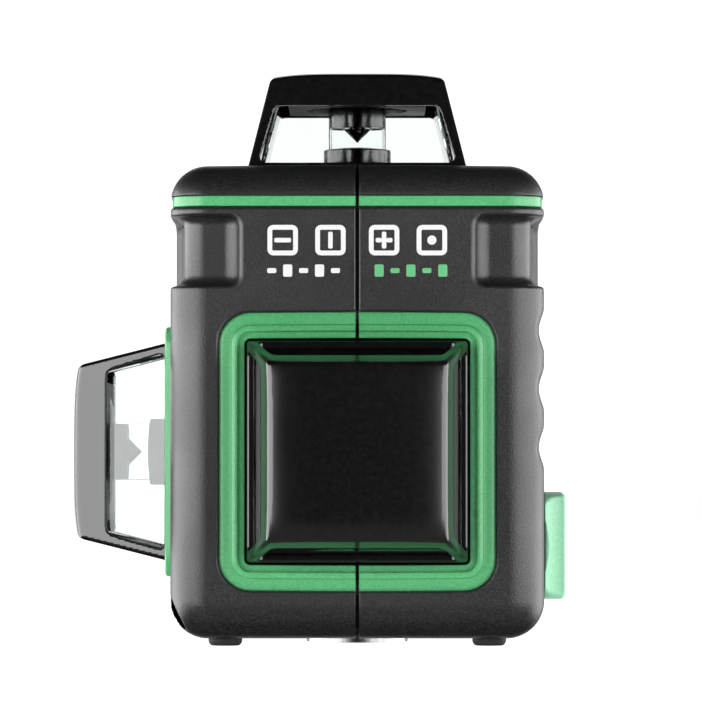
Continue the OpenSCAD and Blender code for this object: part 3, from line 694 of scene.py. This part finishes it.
def matt_black_finish():
    return finish("matt_black", (0.006, 0.006, 0.006), (0.014, 0.014, 0.014), (0.4, 0.55), 2000,
                  (0.2, 0.00005))


def alloy_finish():
    return finish("alloy", (0.4, 0.41, 0.42), (0.56, 0.57, 0.58), (0.22, 0.34), 1500, (0.06, 0.00003),
                  metallic=1.0, stretch=(1, 1, 0.08))


def dark_alloy_finish():
    return finish("dark_alloy", (0.055, 0.055, 0.057), (0.09, 0.09, 0.092), (0.14, 0.24), 1500,
                  (0.06, 0.00003), metallic=1.0, stretch=(1, 1, 0.08))


def steel_finish():
    return finish("steel", (0.36, 0.36, 0.37), (0.5, 0.5, 0.51), (0.2, 0.32), 1800, (0.08, 0.00003),
                  metallic=1.0, stretch=(0.1, 1, 1))


def brass_finish():
    return finish("brass", (0.55, 0.38, 0.12), (0.68, 0.5, 0.2), (0.25, 0.38), 1500, (0.06, 0.00003),
                  metallic=1.0)


def copper_finish():
    return finish("copper", (0.6, 0.25, 0.13), (0.72, 0.34, 0.2), (0.25, 0.38), 1500, (0.06, 0.00003),
                  metallic=1.0)


def mirror_finish():
    return finish("mirror", (0.84, 0.84, 0.86), (0.9, 0.9, 0.92), (0.015, 0.04), 600, (0.01, 0.00001),
                  metallic=1.0)


def rubber_finish():
    return finish("rubber", (0.012, 0.012, 0.012), (0.024, 0.024, 0.024), (0.6, 0.8), 2400,
                  (0.35, 0.00008), specular=0.35)


def board_finish():
    return finish("board", (0.004, 0.045, 0.014), (0.01, 0.085, 0.03), (0.3, 0.45), 700, (0.1, 0.00004))


def cell_wrap_finish():
    return finish("cell_wrap", (0.02, 0.1, 0.2), (0.03, 0.14, 0.26), (0.16, 0.26), 500, (0.05, 0.00003))


def light_pipe_finish():
    return finish("light_pipe", (0.45, 0.72, 0.5), (0.55, 0.82, 0.6), (0.12, 0.2), 800, (0.04, 0.00003))


def paint_finish(name, colour):
    darker = tuple(0.92 * c for c in colour)
    return finish(name, darker, colour, (0.4, 0.5), 2200, (0.06, 0.00002))


def clear_glass_finish(name="clear_glass", ior=1.6):
    """Clear glass: see-through face on, with a faint green tint, and mirror-like at a slant."""
    material = bpy.data.materials.new(name)
    material.use_nodes = True
    tree = material.node_tree
    shine = tree.nodes["Principled BSDF"]
    shine.inputs["Base Color"].default_value = (0.96, 1.0, 0.98, 1)
    shine.inputs["Metallic"].default_value = 1.0
    dust = grain(tree, 900, 4.0)
    tree.links.new(spread(tree, dust, 0.015, 0.05), shine.inputs["Roughness"])
    clear = wire(tree, "ShaderNodeBsdfTransparent", Color=(0.985, 0.995, 0.99, 1))
    edge = wire(tree, "ShaderNodeFresnel", IOR=ior)
    mix = tree.nodes.new("ShaderNodeMixShader")
    tree.links.new(edge.outputs["Fac"], mix.inputs["Fac"])
    tree.links.new(clear.outputs["BSDF"], mix.inputs[1])
    tree.links.new(shine.outputs["BSDF"], mix.inputs[2])
    tree.links.new(mix.outputs["Shader"], tree.nodes["Material Output"].inputs["Surface"])
    return material


def coated_glass_finish():
    return clear_glass_finish("coated_glass", 1.04)


FINISHES = {
    "casing": casing_finish, "green_trim": green_trim_finish, "green_key": green_key_finish,
    "grey_key": grey_key_finish, "gloss_black": gloss_black_finish, "matt_black": matt_black_finish,
    "clear_glass": clear_glass_finish, "coated_glass": coated_glass_finish, "alloy": alloy_finish,
    "dark_alloy": dark_alloy_finish, "steel": steel_finish, "brass": brass_finish,
    "copper": copper_finish, "mirror": mirror_finish, "rubber": rubber_finish, "board": board_finish,
    "cell_wrap": cell_wrap_finish, "light_pipe": light_pipe_finish,
}
made_finishes = {}


def finish_of(look):
    """The material of a slot or another look, made once."""
    if look not in made_finishes:
        made_finishes[look] = FINISHES[look]()
    return made_finishes[look]


# ---------- the casing ----------

def add_shells():
    """Both casing halves; each mark closes up the grid where a small shape needs it."""
    marks_x = [(0, 0.9, 0.2), (25.5, 3.4, 0.45), (30.6, 3.6, 0.4), (38, 6, 0.45)]
    marks_y = [(-36.5, 3.4, 0.45), (-30.6, 0.5, 0.25), (-24.7, 0.6, 0.5), (4, 3.2, 0.5),
               (24.7, 0.6, 0.6), (30.6, 0.5, 0.3), (37, 2.6, 0.4)]
    marks_z = [(3, 1.8, 0.4), (7.5, 5.5, 0.55), (12.5, 0.6, 0.22), (18.3, 0.6, 0.6), (51.8, 0.5, 0.35),
               (58, 3.2, 0.5), (63, 0.5, 0.35), (73.5, 0.8, 0.22), (80.5, 3, 0.5), (92.5, 3.4, 0.45),
               (97.6, 3, 0.22), (104, 3, 0.45)]
    right_x = [(8, 0.6, 0.4), (22, 0.6, 0.4)]
    right_z = [(55, 1.5, 0.4), (60, 1.2, 0.4), (56.9, 19.5, 0.7)]
    for side, node, more_x, more_z in ((-1, "left_shell", [], []), (1, "right_shell", right_x, right_z)):
        across = grid_lines(-1.0, HALF_W + 1.2, 1.7, marks_x + more_x)
        if side < 0:
            across = -across[::-1]
        along = grid_lines(-HALF_D - 1.2, HALF_D + 1.2, 1.7, marks_y)
        upward = grid_lines(FOOT - 1.2, TOP + 1.2, 1.7, marks_z + more_z)
        net = skin(lambda x, y, z, s=side: casing(x, y, z, s), (across, along, upward))
        stand_for(node, net_mesh(node, net))


def bow_in(points):
    """Draws a ring's sides in towards the front and back, as plan_form() does."""
    points = points.copy()
    points[:, 0] -= points[:, 0] / HALF_W * BOW * (points[:, 1] / HALF_D) ** 2
    return points


def stripe_part(side):
    """Half of the coloured stripe, a soft band in the groove round the casing."""
    mid = (STRIPE_LOW + STRIPE_HIGH) / 2
    reach = (STRIPE_HIGH - STRIPE_LOW) / 2 - 0.06
    inset = STRIPE_INSET
    foot = STRIPE_DEPTH - 0.02
    profile = [(foot, -reach), (inset + 0.25, -reach), (inset + 0.06, -reach + 0.12),
               (inset, -reach + 0.4), (inset, 0), (inset, reach - 0.4),
               (inset + 0.06, reach - 0.12), (inset + 0.25, reach), (foot, reach)]
    rings = []
    for depth, height in profile:
        whole = bow_in(ring(HALF_W - depth, HALF_D - depth, EDGE_R - depth))
        rings.append([(x, y, mid + height) for x, y in half_ring(whole, side)])
    return loft(np.swapaxes(np.array(rings), 0, 1), False)


def surround_rings():
    """A surround's cross-section as rings: a sunk outer band, a ridge and an inner band."""
    profile = [(0.1, -RECESS), (0.12, -1.12), (0.3, -0.98), (0.6, -0.88), (1.0, -0.8), (1.6, -0.74),
               (2.3, -0.7), (2.66, -0.62), (2.76, -0.4), (2.82, 0.2), (2.94, RIDGE - 0.32),
               (3.2, RIDGE - 0.16), (3.6, RIDGE - 0.05), (3.95, RIDGE), (4.12, RIDGE - 0.07),
               (4.19, RIDGE - 0.25), (4.24, -0.35), (4.4, -0.46), (5.0, -0.36), (5.45, -0.38),
               (5.66, -0.52), (5.74, -RECESS)]
    rings = []
    for inset, height in profile:
        half = SURROUND_HALF - inset
        rings.append((ring(half, half, max(SURROUND_R - inset, 0.8)), height))
    return rings


def bow_out(points):
    """Bows a ring's upper and lower edges out, as bowed() does for the recess."""
    share = positive(1 - (points[:, 0] / SURROUND_HALF) ** 2)
    points = points.copy()
    points[:, 1] *= 1 + ARCH / SURROUND_HALF * share
    return points


def add_trim():
    """The halves of the stripe, both halves of the front surround, and the side surround."""
    for side, node in ((-1, "left_stripe"), (1, "right_stripe")):
        stand_for(node, part_mesh(node, stripe_part(side)))
    for side, node in ((-1, "front_surround_left"), (1, "front_surround_right")):
        rings = [[(a, b, h) for a, b in bow_out(half_ring(r, side))] for r, h in surround_rings()]
        part = loft(np.swapaxes(np.array(rings), 0, 1), False)
        stand_for(node, part_mesh(node, on_face(part, "front")))
    rings = []
    for outline, height in surround_rings():
        bent = bow_out(outline)
        rings.append([(b, a, height) for a, b in bent])
    part = loft(np.swapaxes(np.array(rings), 0, 1), True)
    stand_for("side_surround", part_mesh("side_surround", on_face(part, "side")))


def add_window_heads():
    """One window frame, turned to each of its three faces."""
    marks = [(i, 0.9, 0.35) for i in (-HEAD_HALF, -CAP_HALF, CAP_HALF, HEAD_HALF)]
    marks += [(-22, 1.6, 0.35), (22, 1.6, 0.35)]
    flat = grid_lines(-FLANGE_HALF - 0.9, FLANGE_HALF + 0.9, 1.4, marks)
    marks = [(WINDOW_LOW, 1, 0.25), (15, 1.6, 0.3), (CEILING, 0.6, 0.3), (21.5, 1, 0.25)]
    upward = grid_lines(FLANGE_LOW - 0.9, HEAD_H + 0.9, 0.8, marks)
    points, quads, normals = skin(window_head, (flat, flat, upward))
    for face in FACES:
        turn, place = FACES[face]
        node = face + "_window_frame"
        stand_for(node, net_mesh(node, (turn(points) + place, quads, turn(normals))))


# ---------- optics ----------

def dome_height(r, top=6.0, dome_r=34.0):
    """Height of the barrels' domed ends at radius r from their axis."""
    return top - dome_r + math.sqrt(dome_r ** 2 - r ** 2)


def add_optics():
    """Barrels, lenses, cone mirrors and their holders; heights count from the casing's faces."""
    low = -25.0
    inner = low + 3
    groove = BARREL_R - 0.3
    barrel = turned([(3.2, low), (BARREL_R, low), (BARREL_R, 1.2), (groove, 1.4), (groove, 1.8),
                     (BARREL_R, 2.0), (BARREL_R, dome_height(BARREL_R)), (6.6, dome_height(6.6)),
                     (6.52, 3.0), (5.9, 2.6), (5.9, inner), (3.2, inner)])
    stand_for("laser_barrels", part_mesh("laser_barrels", on_each_face(barrel)), "dark_alloy")
    curve = [(r, dome_height(r) - 0.12) for r in (5.8, 4.6, 3.2, 1.6, 0)]
    lens = turned([(0, 2.7), (5.8, 2.7)] + curve, 0.1, 64)
    stand_for("collimator_lenses", part_mesh("collimator_lenses", on_each_face(lens)))
    holder = turned([(0, 10.1), (3.5, 10.1), (3.7, 10.35), (6.0, 10.35), (6.1, 10.1), (HOLDER_R, 10.1),
                     (HOLDER_R, 14.4), (6.3, 14.5), (6.3, 14.8), (HOLDER_R, 14.9), (HOLDER_R, 15.5),
                     (0, 15.5)], 0.12)
    stand_for("cone_holders", part_mesh("cone_holders", on_each_face(holder)), "dark_alloy")
    cone = turned([(0, 6.9), (3.3, 10.05), (3.3, 10.2), (0, 10.2)], 0.05)
    stand_for("cone_mirrors", part_mesh("cone_mirrors", on_each_face(cone)))
    tube = turned([(6.02, 3.6), (6.48, 3.6), (6.48, 10.05), (6.02, 10.05)], 0.08)
    stand_for("cone_tubes", part_mesh("cone_tubes", on_each_face(tube)), "coated_glass")


# ---------- small pieces ----------

def add_knob():
    margin = 0.8
    around = grid_lines(-KNOB_R - margin, KNOB_R + margin, 0.5, [(-8.5, 5, 0.35), (8.5, 5, 0.35)])
    out = grid_lines(HALF_W - WALL - margin, KNOB_END + margin, 0.5, [(KNOB_END - 2.4, 3, 0.3)])
    net = skin(knob, (out, around, around + KNOB_Z))
    stand_for("lock_knob", net_mesh("lock_knob", net))


def add_rear_covers():
    marks = [(-16, 0.5, 0.3), (16, 0.5, 0.3), (-DOOR_HALF, 1.2, 0.3), (DOOR_HALF, 1.2, 0.3),
             (-9, 1, 0.6), (9, 1, 0.6)]
    across = grid_lines(-DOOR_HALF - 2.2, DOOR_HALF + 2.2, 1.6, marks)
    depth = grid_lines(HALF_D - 2.5, HALF_D + 0.6, 0.22, [])
    marks = [(DOOR_LOW + 1, 1.2, 0.3), (DOOR_HIGH - 9, 9.5, 0.3)]
    upward = grid_lines(DOOR_LOW - 0.8, DOOR_HIGH + 0.8, 1.4, marks)
    net = skin(battery_door, (across, depth, upward))
    stand_for("battery_door", net_mesh("battery_door", net))
    across = grid_lines(PORT_X - 8.2, PORT_X + 8.2, 0.3, [])
    depth = grid_lines(HALF_D - 1.9, HALF_D + 0.5, 0.18, [])
    upward = grid_lines(PORT_LOW - 0.5, PORT_HIGH + 0.5, 0.25, [])
    net = skin(port_cover, (across, depth, upward))
    stand_for("port_cover", net_mesh("port_cover", net))


def add_keys():
    for node in ("power_button", "plane_button", "pulse_button"):
        middle = (low_of(node)[0] + high_of(node)[0]) / 2
        low = low_of(node)[1]
        key = turned([(0, low), (2, low), (2, low + 0.3), (KEY_FLANGE_R, low + 0.3),
                      (KEY_FLANGE_R, low + 1.2), (5.1, low + 1.3), (5.05, KEY_END - 0.25),
                      (4.5, KEY_END), (3.9, KEY_END - 0.05), (3.2, KEY_END - 0.28),
                      (0, KEY_END - 0.45)], 0.15, 72)
        stand_for(node, part_mesh(node, moved(facing_back(key), middle, 0, KEY_Z)))
    low = low_of("indicator_lights")[1]
    high = high_of("indicator_lights")[1]
    lens = turned([(0, low), (0.98, low), (0.98, high - 0.25), (0.6, high - 0.05), (0, high)], 0.1, 32)
    lights = [moved(facing_back(lens), x, 0, LIGHT_Z) for x in (-15, 0, 15)]
    stand_for("indicator_lights", part_mesh("indicator_lights", joined(lights)))


def add_feet():
    foot = turned([(0, 0), (3.1, 0), (3.5, 0.4), (FOOT_R, 0.9), (FOOT_R, 2.7), (0, 2.7)], 0.25, 64)
    feet = [moved(foot, sx * FEET[0], sy * FEET[1]) for sx in (-1, 1) for sy in (-1, 1)]
    stand_for("rubber_feet", part_mesh("rubber_feet", joined(feet)))


def thread_loop(outer, minor, major, pitch, height):
    """A bush's cross-section whose inside is cut with thread grooves."""
    loop = [(outer, 0.0), (outer, height), (major, height)]
    turns = int((height - 0.6) / pitch)
    for i in range(turns):
        start = height - 0.5 - i * pitch
        loop += [(minor, start), (minor, start - 0.25 * pitch), (major, start - 0.62 * pitch)]
    return loop + [(minor, 0.5), (minor + 0.5, 0.0)]


def add_bushes():
    """The 5/8-11 and 1/4-20 tripod bushes, with their threads cut."""
    large = thread_loop(9.0, 6.78, 7.85, 2.309, high_of("tripod_bush_large")[2])
    stand_for("tripod_bush_large", part_mesh("tripod_bush_large", turned(large, 0.1)))
    small = thread_loop(4.5, 2.58, 3.15, 1.27, high_of("tripod_bush_small")[2])
    part = moved(turned(small, 0.08, 64), 0, BUSH_Y, 0)
    stand_for("tripod_bush_small", part_mesh("tripod_bush_small", part))


# ---------- painted signs on the front ----------

def sign_tile(x, z, half_x, half_z, r=0.35):
    """A thin painted patch on the front face."""
    part = tile(half_x, half_z, r, -0.02, 0.05, 0.02)
    points, faces = moved(part, x, z - HEAD_Z, 0)
    return on_face((points, faces), "front")


def sign_frame(x, z, half, stroke):
    """A square painted outline with rounded corners."""
    rows = []
    for inset, height in ((0, -0.02), (0, 0.05), (stroke, 0.05), (stroke, -0.02)):
        outline = ring(half - inset, half - inset, max(1.3 - inset, 0.3), 6, 2)
        rows.append([(a + x, b + z - HEAD_Z, height) for a, b in outline])
    part = loft(np.swapaxes(np.array(rows), 0, 1), True)
    return on_face(part, "front")


def add_signs():
    """Four generic signs over a row of white and green marks."""
    bar = SIGN_HALF - SIGN_STROKE - 0.45
    half_bar = 0.5
    level, plumb, cross, dot = SIGN_X
    arm = bar / 2 - half_bar / 2
    white = [sign_frame(x, SIGN_Z, SIGN_HALF, SIGN_STROKE) for x in SIGN_X]
    white.append(sign_tile(level, SIGN_Z, bar, half_bar))
    white.append(sign_tile(plumb, SIGN_Z, half_bar, bar))
    white.append(sign_tile(cross, SIGN_Z, half_bar, bar))
    white += [sign_tile(cross + s * (bar - arm), SIGN_Z, arm, half_bar) for s in (-1, 1)]
    white.append(sign_tile(dot, SIGN_Z, 1.0, 1.0, 0.95))
    short, tall = 0.55, 1.35
    white += [sign_tile(-18.8 + MARK_PITCH * i, MARK_Z, 1.0, tall if i % 2 else short) for i in range(5)]
    green = [sign_tile(4.8 + MARK_PITCH * i, MARK_Z, 1.0, short if i % 2 else tall) for i in range(5)]
    for name, parts, colour in (("front_signs_white", white, (0.8, 0.8, 0.8)),
                                ("front_signs_green", green, (0.12, 0.5, 0.2))):
        piece = bpy.data.objects.new(name, part_mesh(name, joined(parts)))
        bpy.context.scene.collection.objects.link(piece)
        piece.data.materials.append(paint_finish(name, colour))
        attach(piece, "casing")


# ---------- CAD nodes that stay ----------

# Width of the bevel on the edges of each node
BEVELLED = {
    "stop_plates": 0.25, "baffles": 0.2, "top_window_glass": 0.2, "side_window_glass": 0.2,
    "front_window_glass": 0.2, "base_screws": 0.12, "rear_screws": 0.12, "charge_socket": 0.1,
    "battery_pack": 0.5, "rear_frame": 0.3, "pendulum_body": 0.3, "gimbal_ring": 0.3,
    "chassis_base": 0.3, "left_upright": 0.3, "right_upright": 0.3, "balance_weights": 0.3,
    "magnet_carrier": 0.2, "main_board": 0.1, "driver_board": 0.1, "tact_switches": 0.15,
    "lock_switch": 0.15, "battery_cells": 0.5,
}


def finish_cad_nodes():
    """Gives every CAD node that still shows its finish, and softens the plainest edges."""
    for node, piece in frame["nodes"].items():
        if piece.hide_render:
            continue
        piece.data.materials.clear()
        piece.data.materials.append(finish_of(SLOT_OF[node]))
        if node in BEVELLED:
            weld = piece.modifiers.new("weld", "WELD")
            weld.merge_threshold = 1e-6
            bevel = piece.modifiers.new("bevel", "BEVEL")
            bevel.width = BEVELLED[node] * MM
            bevel.segments = 2
            bevel.limit_method = "ANGLE"
            bevel.angle_limit = math.radians(40)


# ---------- studio ----------

def add_card(name, place, width, height, turn, strength, lean=0):
    """A glowing card that is only seen in reflections."""
    half_w, half_h = width / 2, height / 2
    corners = [(-half_w, 0, -half_h), (half_w, 0, -half_h), (half_w, 0, half_h), (-half_w, 0, half_h)]
    mesh = bpy.data.meshes.new(name)
    mesh.from_pydata(corners, [], [(0, 1, 2, 3)])
    card = bpy.data.objects.new(name, mesh)
    card.location = place
    card.rotation_euler = (math.radians(lean), 0, math.radians(turn))
    bpy.context.scene.collection.objects.link(card)
    material = bpy.data.materials.new(name)
    material.use_nodes = True
    tree = material.node_tree
    tree.nodes.remove(tree.nodes["Principled BSDF"])
    glow = wire(tree, "ShaderNodeEmission", Color=(1, 1, 1, 1), Strength=strength)
    tree.links.new(glow.outputs["Emission"], tree.nodes["Material Output"].inputs["Surface"])
    mesh.materials.append(material)
    card.visible_camera = False
    card.visible_diffuse = False
    card.visible_transmission = False
    card.visible_shadow = False


def add_softbox(name, angle, distance, width, height, radiance, glossy=True, lift=0.0):
    """An area light facing the object, angle degrees round from the front, towards +X."""
    data = bpy.data.lights.new(name, "AREA")
    data.shape = "RECTANGLE"
    data.size = width
    data.size_y = height
    data.energy = radiance * math.pi * width * height
    light = bpy.data.objects.new(name, data)
    turn = math.radians(angle)
    tilt = math.radians(lift)
    reach = distance * math.cos(tilt)
    light.location = (reach * math.sin(turn), -reach * math.cos(turn), distance * math.sin(tilt))
    light.rotation_euler = (math.pi / 2 - tilt, 0, turn)
    light.visible_camera = False
    light.visible_transmission = False
    light.visible_glossy = glossy
    bpy.context.scene.collection.objects.link(light)


def add_floor():
    mesh = bpy.data.meshes.new("floor")
    mesh.from_pydata([(-4, -4, 0), (4, -4, 0), (4, 4, 0), (-4, 4, 0)], [], [(0, 1, 2, 3)])
    floor = bpy.data.objects.new("floor", mesh)
    bpy.context.scene.collection.objects.link(floor)
    material = bpy.data.materials.new("floor")
    material.use_nodes = True
    tree = material.node_tree
    surface = tree.nodes["Principled BSDF"]
    surface.inputs["Base Color"].default_value = (0.6, 0.6, 0.6, 1)
    surface.inputs["Roughness"].default_value = 0.9
    surface.inputs["Specular IOR Level"].default_value = 0.0
    surface.inputs["Emission Color"].default_value = (1, 1, 1, 1)
    surface.inputs["Emission Strength"].default_value = 1.0
    mesh.materials.append(material)
    floor.visible_glossy = False


def add_studio():
    scene = bpy.context.scene
    scene.view_settings.view_transform = "Standard"
    world = bpy.data.worlds.new("world")
    world.use_nodes = True
    world.node_tree.nodes["Background"].inputs["Color"].default_value = (1, 1, 1, 1)
    world.node_tree.nodes["Background"].inputs["Strength"].default_value = 1.28
    world.cycles_visibility.glossy = False
    world.cycles_visibility.diffuse = False
    scene.world = world
    add_floor()
    for side, turn, front_glow, side_glow in (("left", -1, 5.0, 4.6), ("right", 1, 4.2, 3.8)):
        add_softbox(side + "_softbox", 55 * turn, 0.85, 1.1, 0.7, front_glow)
        add_softbox(side + "_side_softbox", 112 * turn, 0.85, 0.8, 0.7, side_glow)
    add_softbox("top_fill", 0, 1.2, 1.6, 1.6, 0.25, glossy=False, lift=80)
    add_softbox("back_fill", 180, 1.2, 1.6, 1.2, 0.8, glossy=False, lift=25)
    add_card("back_card", (0, 0.8, 0.1), 0.6, 1.2, 0, 1.0)
    for side, turn in (("left", -1), ("right", 1)):
        add_card(side + "_back_card", (0.75 * turn, 0.75, 0.1), 0.9, 1.2, -40 * turn, 0.22)
    add_card("floor_card", (0, -0.105, 0.0005), 0.3, 0.13, 0, 0.15, 90)


def add_camera():
    data = bpy.data.cameras.new("camera")
    data.lens = 246
    data.sensor_width = 36
    data.clip_start = 0.05
    camera = bpy.data.objects.new("camera", data)
    camera.location = (0, -1.093, 0.0423)
    camera.rotation_euler = (math.radians(91.24), 0, math.radians(0.075))
    bpy.context.scene.collection.objects.link(camera)
    bpy.context.scene.camera = camera


add_shells()
add_trim()
add_window_heads()
add_optics()
add_knob()
add_rear_covers()
add_keys()
add_feet()
add_bushes()
add_signs()
finish_cad_nodes()
add_studio()
add_camera()
